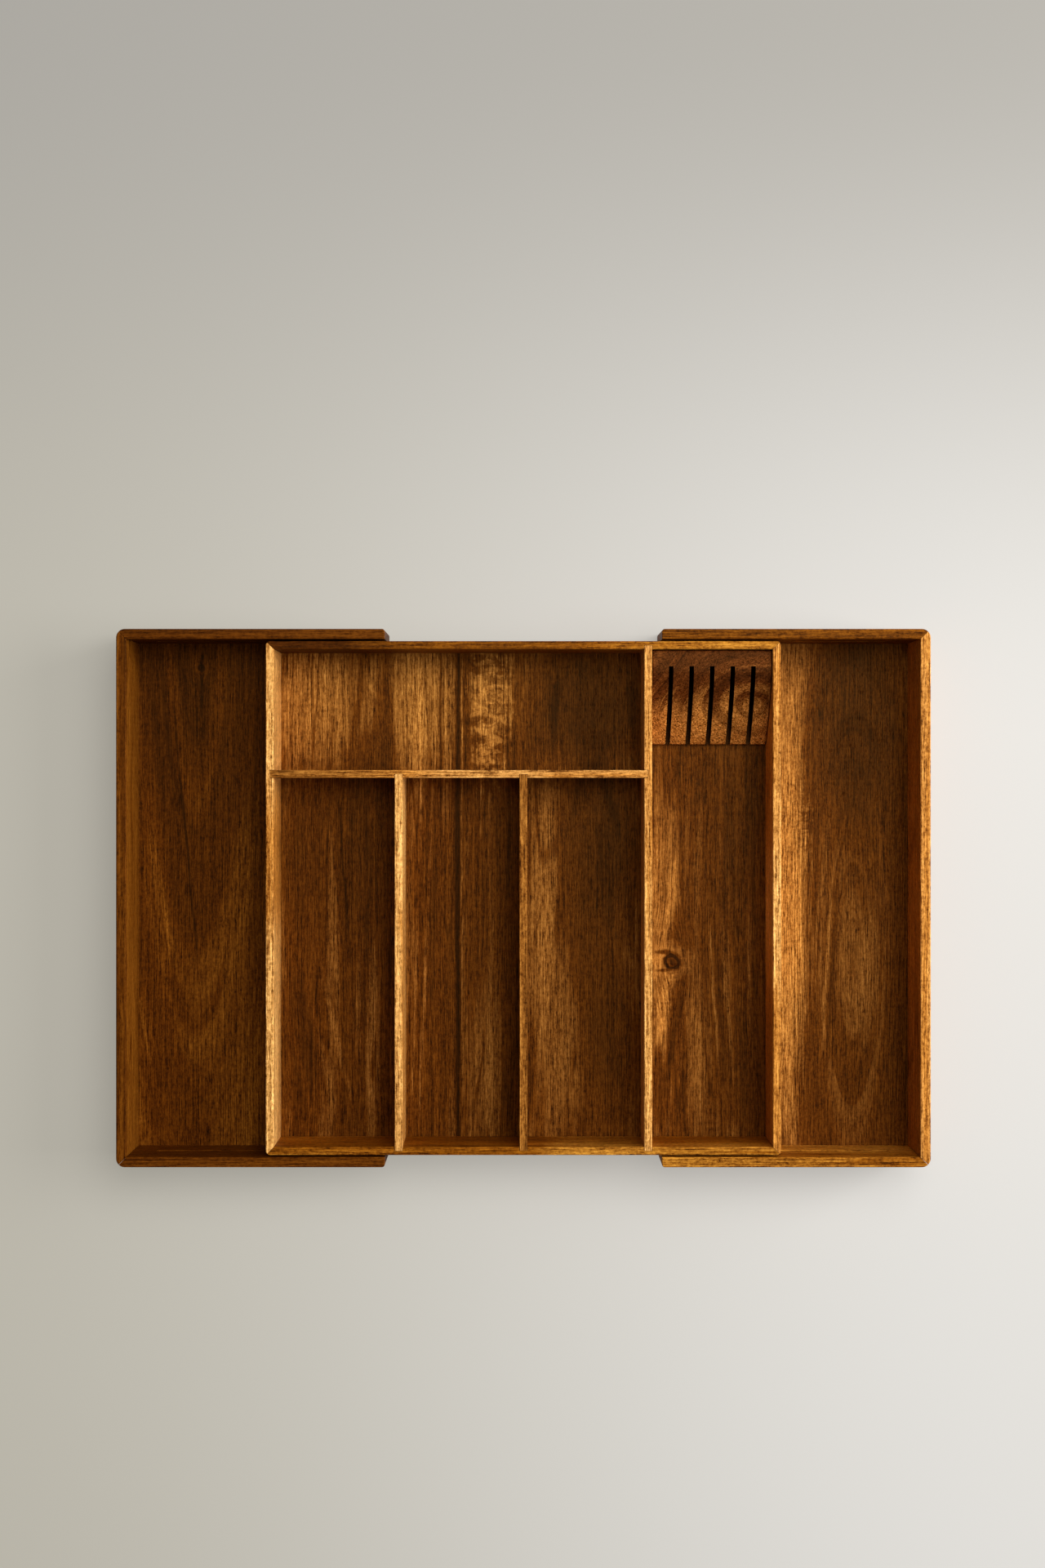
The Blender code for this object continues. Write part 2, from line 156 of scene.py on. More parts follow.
def make_grain_run():
    """How the grain runs: slow sway of the fibres, and the distance from the tree's heart.

    Place is the distance along the grain, across the board's face and up out of the face.
    """
    net, entry, result = start_effect(
        "grain_run",
        {"Place": Vector((0, 0, 0)), "Heart Across": 0.0, "Heart Depth": 0.05, "Drift": 0.0,
         "Tilt": 0.0, "Sway": 0.003, "Seed": 0.0},
        {"Run": "Vector", "Ring": "Float"})
    along, across, depth = net.split(entry["Place"])
    slow = net.noise(net.stretch(entry["Place"], (5, 9, 9), entry["Seed"]))
    quick = net.noise(net.stretch(entry["Place"], (26, 16, 16), entry["Seed"]))
    waves = net.calc("ADD", net.calc("MULTIPLY_ADD", slow, 2, -1),
                     net.calc("MULTIPLY_ADD", quick, 0.5, -0.25))
    swayed = net.calc("MULTIPLY_ADD", waves, entry["Sway"], across)
    heart_across = net.calc("MULTIPLY_ADD", entry["Drift"], along, entry["Heart Across"])
    heart_depth = net.calc("MULTIPLY_ADD", entry["Tilt"], along, entry["Heart Depth"])
    aside = net.calc("SUBTRACT", swayed, heart_across)
    above = net.calc("ADD", depth, heart_depth)
    ring = net.calc("SQRT", net.calc("ADD", net.calc("MULTIPLY", aside, aside),
                                     net.calc("MULTIPLY", above, above)))
    wire(net, result, Run=net.join(along, swayed, depth), Ring=ring)


def make_growth_zones():
    """Broad light and dark growth zones, and the thin dark lines between some of them."""
    net, entry, result = start_effect(
        "growth_zones",
        {"Run": Vector((0, 0, 0)), "Ring": 0.0, "Spacing": 0.006, "Seed": 0.0},
        {"Tone": "Float", "Lines": "Float"})
    along = net.split(entry["Run"])[0]
    phase = net.calc("DIVIDE", entry["Ring"], entry["Spacing"])
    place = net.join(phase, along, 0)
    zones = net.noise(net.stretch(place, (0.5, 1.4, 1), entry["Seed"]), detail=4, roughness=0.62)
    tone = net.remap(zones, 0.30, 0.70)
    field = net.noise(net.stretch(place, (0.9, 4, 1), net.calc("ADD", entry["Seed"], 9)), detail=2)
    off_line = net.calc("ABSOLUTE", net.calc("SUBTRACT", field, 0.5))
    sharp = net.remap(off_line, 0.0, 0.035, 1, 0)
    patch = net.remap(net.noise(net.stretch(place, (0.7, 9, 1), net.calc("ADD", entry["Seed"], 4))),
                      0.35, 0.65)
    wire(net, result, Tone=tone, Lines=net.calc("MULTIPLY", sharp, patch))


def make_fibres():
    """Fine streaks and short fibres along the grain, mottling, and pores as short dark dashes."""
    net, entry, result = start_effect(
        "fibres_and_pores",
        {"Run": Vector((0, 0, 0)), "Openness": 0.65, "Seed": 0.0},
        {"Streaks": "Float", "Fibres": "Float", "Mottling": "Float", "Pores": "Float"})
    long = net.noise(net.stretch(entry["Run"], (9, 900, 900), entry["Seed"]), detail=2,
                     roughness=0.6)
    streaks = net.remap(long, 0.32, 0.68, smooth=False)
    fine = net.noise(net.stretch(entry["Run"], (80, 1200, 1200), entry["Seed"]), detail=3,
                     roughness=0.75)
    fibres = net.remap(fine, 0.34, 0.66, smooth=False)
    mottling = net.noise(net.stretch(entry["Run"], (360, 420, 420), entry["Seed"]), detail=2,
                         roughness=0.8)
    packed = net.stretch(entry["Run"], (260, 1500, 1500), entry["Seed"])
    cells = net.add("ShaderNodeTexVoronoi", {"Vector": packed, "Scale": 1})
    width = net.calc("MULTIPLY", net.split(cells.outputs["Color"])[0], 0.46)
    dashes = net.remap(net.calc("SUBTRACT", cells.outputs["Distance"], width), -0.05, 0.05, 1, 0)
    rows = net.noise(net.stretch(entry["Run"], (14, 160, 160), entry["Seed"]))
    open_rows = net.remap(net.calc("ADD", rows, entry["Openness"]), 0.88, 1.12)
    wire(net, result, Streaks=streaks, Fibres=fibres, Mottling=mottling,
         Pores=net.calc("MULTIPLY", dashes, open_rows))


def make_ragged_place():
    """A place that wavers a little, and a ragged value that breaks outlines up along the fibres."""
    net, entry, result = start_effect(
        "ragged_place",
        {"Place": Vector((0, 0, 0)), "Seed": 0.0},
        {"Place": "Vector", "Rag": "Float"})
    along, across, depth = net.split(entry["Place"])
    waver = net.noise(net.stretch(entry["Place"], (34, 25, 25), entry["Seed"]), detail=2)
    wavered = net.calc("ADD", across, net.calc("MULTIPLY_ADD", waver, 0.0024, -0.0012))
    rag = net.noise(net.stretch(entry["Place"], (38, 620, 620), entry["Seed"]), detail=2,
                    roughness=0.7)
    wire(net, result, Place=net.join(along, wavered, depth),
         Rag=net.calc("MULTIPLY_ADD", rag, 2, -1))


def make_flame():
    """A flame in the figure: a long soft patch along the grain, which may lean across it."""
    net, entry, result = start_effect(
        "flame",
        {"Place": Vector((0, 0, 0)), "Rag": 0.0, "Along": 0.0, "Across": 0.0, "Length": 0.1,
         "Width": 0.01, "Lean": 0.0},
        {"Flame": "Float"})
    along, across = net.split(entry["Place"])[:2]
    ahead = net.calc("SUBTRACT", along, entry["Along"])
    middle = net.calc("MULTIPLY_ADD", entry["Lean"], ahead, entry["Across"])
    far_along = net.calc("DIVIDE", ahead, entry["Length"])
    far_across = net.calc("DIVIDE", net.calc("SUBTRACT", across, middle), entry["Width"])
    far = net.calc("SQRT", net.calc("ADD", net.calc("MULTIPLY", far_along, far_along),
                                    net.calc("MULTIPLY", far_across, far_across)))
    torn = net.calc("MULTIPLY_ADD", entry["Rag"], 0.45, far)
    wire(net, result, Flame=net.remap(torn, 0.3, 1.05, 1, 0))


def make_curl():
    """Curly figure: light and dark bands across the grain."""
    net, entry, result = start_effect(
        "curl",
        {"Run": Vector((0, 0, 0)), "Band": 0.008, "Seed": 0.0},
        {"Curl": "Float"})
    along, across, depth = net.split(entry["Run"])
    banded = net.join(net.calc("DIVIDE", along, entry["Band"]), net.calc("MULTIPLY", across, 120),
                      net.calc("MULTIPLY", depth, 120))
    ripple = net.noise(net.stretch(banded, (1, 1, 1), entry["Seed"]), detail=3, roughness=0.6,
                       distortion=0.8)
    wire(net, result, Curl=net.remap(ripple, 0.34, 0.66))


def make_knot():
    """A knot: a dark outline and middle, a pale halo, and the grain pushed aside round it."""
    net, entry, result = start_effect(
        "knot",
        {"Place": Vector((0, 0, 0)), "Along": 0.0, "Across": 0.0, "Radius": 0.005},
        {"Place": "Vector", "Core": "Float", "Halo": "Float"})
    along, across, depth = net.split(entry["Place"])
    from_along = net.calc("SUBTRACT", along, entry["Along"])
    from_across = net.calc("SUBTRACT", across, entry["Across"])
    wobble = net.noise(net.stretch(entry["Place"], (180, 180, 180), 2.0))
    radius = net.calc("MULTIPLY", entry["Radius"], net.calc("MULTIPLY_ADD", wobble, 0.6, 0.7))
    far_along = net.calc("DIVIDE", from_along, radius)
    far_across = net.calc("DIVIDE", from_across, radius)
    far = net.calc("SQRT", net.calc("ADD", net.calc("MULTIPLY", far_along, far_along),
                                    net.calc("MULTIPLY", far_across, far_across)))
    outline = net.calc("MULTIPLY", net.remap(far, 0.55, 0.8), net.remap(far, 0.95, 1.2, 1, 0))
    middle = net.calc("MULTIPLY", net.remap(far, 0.1, 0.5, 1, 0), 0.55)
    core = net.calc("ADD", outline, net.calc("ADD", middle, net.remap(far, 0.9, 1.1, 0.15, 0)))
    halo = net.calc("MULTIPLY", net.remap(far, 1.1, 1.5), net.remap(far, 1.6, 3.4, 1, 0))
    reach_along = net.calc("DIVIDE", from_along, net.calc("MULTIPLY", entry["Radius"], 5))
    reach_across = net.calc("DIVIDE", from_across, net.calc("MULTIPLY", entry["Radius"], 2.2))
    reach = net.calc("ADD", net.calc("MULTIPLY", reach_along, reach_along),
                     net.calc("MULTIPLY", reach_across, reach_across))
    squeeze = net.calc("EXPONENT", net.calc("MULTIPLY", reach, -1))
    pushed = net.calc("SUBTRACT", across, net.calc("MULTIPLY", from_across,
                                                   net.calc("MULTIPLY", squeeze, 0.85)))
    wire(net, result, Place=net.join(along, pushed, depth), Core=core, Halo=halo)


def make_oiled_colour():
    """The oiled wood's colour: its zones, lines and curl, darker and paler with the fibres."""
    net, entry, result = start_effect(
        "oiled_colour",
        {"Tone": 0.5, "Lines": 0.0, "Streaks": 0.5, "Fibres": 0.5, "Mottling": 0.5, "Pores": 0.0,
         "Curl": 0.5, "Shift": 0.0, "Tone Part": 0.36, "Line Part": 0.25, "Streak Part": 0.8,
         "Fibre Part": 1.4, "Mottling Part": 1.8, "Curl Part": 0.0,
         "Dark": (0.08, 0.03, 0.01, 1.0), "Golden": (0.3, 0.13, 0.04, 1.0),
         "Pale": (0.6, 0.3, 0.1, 1.0)},
        {"Colour": "Color", "Level": "Float"})

    def part(value, share, total):
        centred = net.calc("SUBTRACT", value, 0.5)
        return net.calc("MULTIPLY_ADD", centred, share, total)

    level = net.calc("ADD", entry["Shift"], 0.5)
    level = part(entry["Tone"], entry["Tone Part"], level)
    level = part(entry["Curl"], entry["Curl Part"], level)
    level = net.calc("SUBTRACT", level, net.calc("MULTIPLY", entry["Lines"], entry["Line Part"]))
    low = net.remap(level, 0.0, 0.5, smooth=False)
    high = net.remap(level, 0.5, 1.0, smooth=False)
    colour = net.mix(high, net.mix(low, entry["Dark"], entry["Golden"]), entry["Pale"])
    depth = part(entry["Streaks"], entry["Streak Part"], 1.0)
    depth = part(entry["Fibres"], entry["Fibre Part"], depth)
    depth = net.calc("MAXIMUM", part(entry["Mottling"], entry["Mottling Part"], depth), 0.1)
    depth = net.calc("MULTIPLY", depth, net.calc("MULTIPLY_ADD", entry["Pores"], -0.35, 1))
    shade = net.join(depth, net.calc("POWER", depth, 1.25), net.calc("POWER", depth, 1.6))
    wire(net, result, Colour=net.mix(1.0, colour, shade, "MULTIPLY"),
         Level=net.remap(level, 0.0, 1.0, smooth=False))


def make_rubbed_and_highlit_edges():
    """Edges rubbed by handling and lightened by a painted highlight on the arrises, found from how
    far the normal turns near them.
    """
    net, entry, result = start_effect(
        "rubbed_and_highlit_edges",
        {"Place": Vector((0, 0, 0)), "Seed": 0.0},
        {"Wear": "Float"})
    rounded = net.add("ShaderNodeBevel", {"Radius": 0.0011}, samples=4)
    true_normal = net.add("ShaderNodeNewGeometry").outputs["Normal"]
    turn = net.add("ShaderNodeVectorMath", {0: rounded.outputs[0], 1: true_normal},
                   operation="DOT_PRODUCT")
    edge = net.remap(turn.outputs["Value"], 0.80, 0.995, 1, 0)
    rub = net.remap(net.noise(net.stretch(entry["Place"], (70, 300, 300), entry["Seed"]), detail=2),
                    0.38, 0.62, 0.25, 1)
    wire(net, result, Wear=net.calc("MULTIPLY", edge, rub))


def make_oil_sheen():
    """The satin of the oil: duller where it sank in and in the pores, smoother on rubbed edges."""
    net, entry, result = start_effect(
        "oil_sheen",
        {"Place": Vector((0, 0, 0)), "Level": 0.5, "Fibres": 0.5, "Pores": 0.0, "Wear": 0.0,
         "Seed": 0.0},
        {"Roughness": "Float", "Height": "Float"})
    soaked = net.noise(net.stretch(entry["Place"], (30, 60, 60), entry["Seed"]), detail=2)
    rough = net.calc("MULTIPLY_ADD", soaked, 0.16, 0.42)
    rough = net.calc("MULTIPLY_ADD", entry["Level"], -0.06, rough)
    rough = net.calc("MULTIPLY_ADD", entry["Pores"], 0.2, rough)
    rough = net.calc("MULTIPLY_ADD", entry["Wear"], -0.08, rough)
    height = net.calc("MULTIPLY_ADD", entry["Fibres"], 0.35, net.calc("MULTIPLY", soaked, 0.15))
    height = net.calc("MULTIPLY_ADD", entry["Pores"], -1, height)
    wire(net, result, Roughness=rough, Height=height)


def make_effects():
    make_grain_run()
    make_growth_zones()
    make_fibres()
    make_ragged_place()
    make_flame()
    make_curl()
    make_knot()
    make_oiled_colour()
    make_rubbed_and_highlit_edges()
    make_oil_sheen()


# Wood colours in plain light: where the wood is darkest, at its middle tone and where it is palest

WOODS = {
    "red_brown": ((0.030, 0.0065, 0.0005), (0.112, 0.0260, 0.0012), (0.33, 0.105, 0.008)),
    "brown": ((0.026, 0.0055, 0.0004), (0.124, 0.0315, 0.0020), (0.52, 0.205, 0.034)),
    "amber": ((0.060, 0.012, 0.0006), (0.27, 0.076, 0.003), (0.66, 0.27, 0.030)),
    "chestnut": ((0.024, 0.0045, 0.0010), (0.110, 0.0260, 0.0040), (0.56, 0.200, 0.034)),
    "gold": ((0.10, 0.026, 0.002), (0.58, 0.21, 0.03), (0.95, 0.48, 0.13)),
    "dowel": ((0.38, 0.24, 0.11), (0.55, 0.37, 0.19), (0.68, 0.49, 0.28)),
}

# How strongly streaks, fibres and mottling show on the pale walls, and on the dark ones
RIM_PARTS = {"Streak Part": 0.9, "Fibre Part": 1.2, "Mottling Part": 2.0}
DARK_RIM_PARTS = {"Streak Part": 0.7, "Fibre Part": 1.0, "Mottling Part": 1.4}

# The oil's gloss, how much lighter edges are from rubbing and a painted highlight, and how much
# lighter or darker knots are
OIL_TINT = (1.0, 0.48, 0.14, 1)
OIL_SPECULAR = 0.2
RUBBED_AND_HIGHLIT_LIGHTER = 0.20
HALO_LIGHTER = 0.22
CORE_DARKER = -0.6
GRAIN_BUMP = {"Strength": 0.5, "Distance": 0.00012}

AXES = {"X": 0, "Y": 1, "Z": 2}


class Board:
    """A finish in the making: one piece's material, with its grain laid along a chosen axis.

    lay names the axes along the grain, across the board's face and out of the face. Places on
    the board are given along the grain and across it, in the frame.
    """

    count = 0

    def __init__(self, piece, lay):
        Board.count += 1
        self.piece = piece
        self.seed = Board.count * SEED_STEP
        self.material = bpy.data.materials.new(piece + "_finish")
        self.material.use_nodes = True
        self.net = Net(self.material.node_tree)
        self.shader = self.material.node_tree.nodes["Principled BSDF"]
        self.spot = self.net.split(self.net.add("ShaderNodeTexCoord").outputs["Object"])
        self.place = self.net.join(*(self.spot[AXES[axis]] for axis in lay))
        self.ragged = self.net.effect("ragged_place", {"Place": self.place, "Seed": self.seed})
        self.shift = 0.0
        self.curl_part = 0.0

    def knot(self, along, across, radius):
        """Puts a knot in the board, and bends the grain round it."""
        knot = self.net.effect("knot", {"Place": self.place, "Along": along, "Across": across,
                                        "Radius": radius})
        self.place = knot["Place"]
        self.shift = self.net.calc("MULTIPLY_ADD", knot["Halo"], HALO_LIGHTER, self.shift)
        self.shift = self.net.calc("MULTIPLY_ADD", knot["Core"], CORE_DARKER, self.shift)

    def patch(self, along, across, length, width, lean):
        """A long soft patch, as a mask."""
        return self.net.effect("flame", {
            "Place": self.ragged["Place"], "Rag": self.ragged["Rag"], "Along": along,
            "Across": across, "Length": length, "Width": width, "Lean": lean})["Flame"]

    def flame(self, along, across, length, width, amount, lean=0.0):
        """Lightens the wood in a long patch, or darkens it where amount is negative."""
        mask = self.patch(along, across, length, width, lean)
        self.shift = self.net.calc("MULTIPLY_ADD", mask, amount, self.shift)

    def fade(self, axis, start, end, amount):
        """Lightens the wood step by step along one axis of the frame, or darkens it."""
        risen = self.net.remap(self.spot[AXES[axis]], start, end)
        self.shift = self.net.calc("MULTIPLY_ADD", risen, amount, self.shift)

    def curly(self, along, across, length, width, amount, lean=0.0):
        """Makes the figure curly in a long patch."""
        mask = self.patch(along, across, length, width, lean)
        self.curl_part = self.net.calc("MULTIPLY_ADD", mask, amount, self.curl_part)

    def finish(self, wood, shift=0.0, heart=(0.0, 0.06), drift=0.0, tilt=0.0, sway=0.003,
               spacing=0.006, band=0.008, openness=0.65, parts=None):
        """Wires the effects into the piece's material."""
        net = self.net
        seed = self.seed
        grain = net.effect("grain_run", {
            "Place": self.place, "Heart Across": heart[0], "Heart Depth": heart[1],
            "Drift": drift, "Tilt": tilt, "Sway": sway, "Seed": seed})
        zones = net.effect("growth_zones", {
            "Run": grain["Run"], "Ring": grain["Ring"], "Spacing": spacing, "Seed": seed})
        fibres = net.effect("fibres_and_pores", {
            "Run": grain["Run"], "Openness": openness, "Seed": seed})
        curls = net.effect("curl", {"Run": grain["Run"], "Band": band, "Seed": seed})
        rubbed_and_highlit = net.effect("rubbed_and_highlit_edges", {"Place": self.place, "Seed": seed})
        # Edges made lighter: partly rubbing, partly a painted highlight on the arrises
        rubbed_and_highlit_shift = net.calc("MULTIPLY_ADD", rubbed_and_highlit["Wear"], RUBBED_AND_HIGHLIT_LIGHTER, self.shift)
        shift = net.calc("ADD", rubbed_and_highlit_shift, shift)
        dark, golden, pale = ((*colour, 1) for colour in WOODS[wood])
        values = {"Tone": zones["Tone"], "Lines": zones["Lines"], "Streaks": fibres["Streaks"],
                  "Fibres": fibres["Fibres"], "Mottling": fibres["Mottling"],
                  "Pores": fibres["Pores"], "Curl": curls["Curl"], "Curl Part": self.curl_part,
                  "Shift": shift, "Dark": dark, "Golden": golden, "Pale": pale}
        values.update(parts or {})
        colour = net.effect("oiled_colour", values)
        sheen = net.effect("oil_sheen", {
            "Place": self.place, "Level": colour["Level"], "Fibres": fibres["Fibres"],
            "Pores": fibres["Pores"], "Wear": rubbed_and_highlit["Wear"], "Seed": seed})
        bump = net.add("ShaderNodeBump", {**GRAIN_BUMP, "Height": sheen["Height"]})
        net.tree.links.new(colour["Colour"], self.shader.inputs["Base Color"])
        net.tree.links.new(sheen["Roughness"], self.shader.inputs["Roughness"])
        net.tree.links.new(bump.outputs["Normal"], self.shader.inputs["Normal"])
        self.shader.inputs["Specular IOR Level"].default_value = OIL_SPECULAR
        self.shader.inputs["Specular Tint"].default_value = OIL_TINT
        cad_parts[self.piece].material_slots[0].material = self.material


def finish_extensions():
    """The two extensions' walls, arms and floors."""
    wall = Board("left_end_wall", "YZX")
    # Painted light: the faces below the rim are lighter than the rim, as on the inner face turned
    # to the key
    wall.fade("Z", 0.0535, 0.052, 0.34)
    wall.finish("red_brown", shift=0.05, parts=DARK_RIM_PARTS)
    Board("left_front_arm", "XZY").finish("red_brown", shift=-0.03, parts=DARK_RIM_PARTS)
    Board("left_back_arm", "XZY").finish("red_brown", shift=-0.13, parts=DARK_RIM_PARTS)
    wall = Board("right_end_wall", "YZX")
    # Painted shade: the faces below the rim are darker than the rim, as on the inner face turned
    # away from the key
    wall.fade("Z", 0.0535, 0.052, -0.28)
    wall.finish("gold", shift=0.08, openness=0.8, parts=RIM_PARTS)
    Board("right_front_arm", "XZY").finish("amber", shift=0.20, parts=RIM_PARTS)
    Board("right_back_arm", "XZY").finish("amber", shift=-0.28, parts=RIM_PARTS)

    floor = Board("left_floor", "YXZ")
    floor.knot(0.1608, -0.2284, 0.0022)
    floor.fade("X", -0.25, -0.19, 0.22)
    floor.fade("Y", 0.02, 0.12, -0.22)
    floor.flame(0.145, -0.2284, 0.02, 0.002, -0.3)
    floor.flame(0.0378, -0.2394, 0.14, 0.0013, -0.35, lean=-0.093)
    floor.flame(0.05, -0.262, 0.13, 0.012, 0.08, lean=-0.09)
    floor.flame(-0.0288, -0.2528, 0.035, 0.001, 0.3, lean=-0.1)
    floor.flame(-0.09, -0.268, 0.04, 0.008, 0.15, lean=-0.1)
    floor.flame(0.03, -0.195, 0.14, 0.02, -0.05, lean=0.2)
    floor.finish("red_brown", shift=-0.02, heart=(-0.232, -0.034), tilt=0.135, spacing=0.006,
                 parts={"Line Part": 0.15})

    floor = Board("right_floor", "YXZ")
    floor.fade("X", 0.19, 0.215, -0.1)
    floor.flame(-0.026, 0.1880, 0.17, 0.020, 0.32)
    floor.flame(-0.02, 0.1860, 0.10, 0.016, 0.36)
    floor.flame(0.10, 0.1880, 0.10, 0.016, 0.15)
    floor.flame(0.12, 0.235, 0.09, 0.035, -0.21)
    floor.flame(-0.14, 0.232, 0.05, 0.03, 0.03)
    floor.flame(-0.06, 0.2450, 0.07, 0.009, 0.16, lean=0.06)
    floor.flame(-0.06, 0.2190, 0.09, 0.0020, -0.25, lean=0.06)
    floor.flame(-0.06, 0.2150, 0.08, 0.0016, 0.12, lean=0.06)
    floor.curly(0.0508, 0.1930, 0.035, 0.018, 0.35)
    floor.flame(-0.01, 0.2180, 0.10, 0.020, 0.06)
    floor.fade("Y", 0.09, 0.03, 0.05)
    floor.finish("brown", shift=0.02, heart=(0.2336, 0.0053), tilt=0.187, spacing=0.007, band=0.004,
                 parts={"Line Part": 0.12, "Tone Part": 0.3})


def finish_middle_tray():
    """The middle tray's walls, dividers and floor."""
    wall = Board("middle_left_wall", "YZX")
    # Painted shade: the faces below the rim are a little darker than the rim
    wall.fade("Z", 0.0535, 0.052, -0.02)
    wall.flame(0.025, 0.05, 0.070, 0.1, -0.42)
    wall.fade("Y", 0.05, 0.12, -0.08)
    wall.fade("Y", -0.05, -0.12, 0.05)
    wall.finish("gold", shift=0.34, openness=0.8, parts=RIM_PARTS)
    wall = Board("middle_right_wall", "YZX")
    wall.fade("Y", -0.05, -0.09, -0.22)
    wall.flame(-0.005, 0.05, 0.05, 0.1, 0.2)
    wall.fade("Y", 0.03, 0.10, -0.08)
    wall.finish("gold", shift=0.04, openness=0.8, parts=RIM_PARTS)
    wall = Board("middle_front_wall", "XZY")
    wall.fade("X", -0.10, -0.07, -0.04)
    wall.fade("X", 0.0, 0.03, 0.28)
    wall.fade("X", 0.084, 0.096, -0.16)
    wall.finish("amber", shift=-0.02, parts=RIM_PARTS)
    wall = Board("middle_back_wall", "XZY")
    wall.fade("X", -0.15, -0.04, 0.41)
    wall.fade("X", 0.0, 0.10, 0.40)
    wall.finish("amber", shift=-0.54, parts=RIM_PARTS)
    wall = Board("left_divider", "YZX")
    wall.fade("Y", -0.04, 0.04, 0.20)
    wall.finish("gold", shift=0.20, parts=RIM_PARTS)
    wall = Board("centre_divider", "YZX")
    wall.fade("Y", -0.03, -0.08, -0.05)
    wall.finish("gold", shift=-0.25, openness=0.8, parts=RIM_PARTS)
    wall = Board("long_divider", "YZX")
    wall.fade("Y", 0.02, -0.06, 0.1)
    wall.fade("Y", 0.03, 0.10, -0.06)
    wall.finish("gold", shift=0.24, openness=0.8, parts=RIM_PARTS)
    wall = Board("cross_divider", "XZY")
    wall.fade("X", -0.12, -0.04, 0.42)
    wall.fade("X", 0.0, 0.03, -0.12)
    wall.finish("gold", shift=-0.10, parts=RIM_PARTS)
    finish_middle_floor()


# Dark blotches in the curly figure at the back: place along and across, half length, half width
CURL_BLOTCHES = (
    (0.1229, -0.0341, 0.0050, 0.013),
    (0.1102, -0.0324, 0.0065, 0.011),
    (0.1622, -0.0312, 0.0090, 0.010),
    (0.1061, -0.0092, 0.0220, 0.006),
)
BLOTCH_DARKER = -0.26

# Where the dark seam runs between the middle floor's two boards
SEAM_X = -0.0463


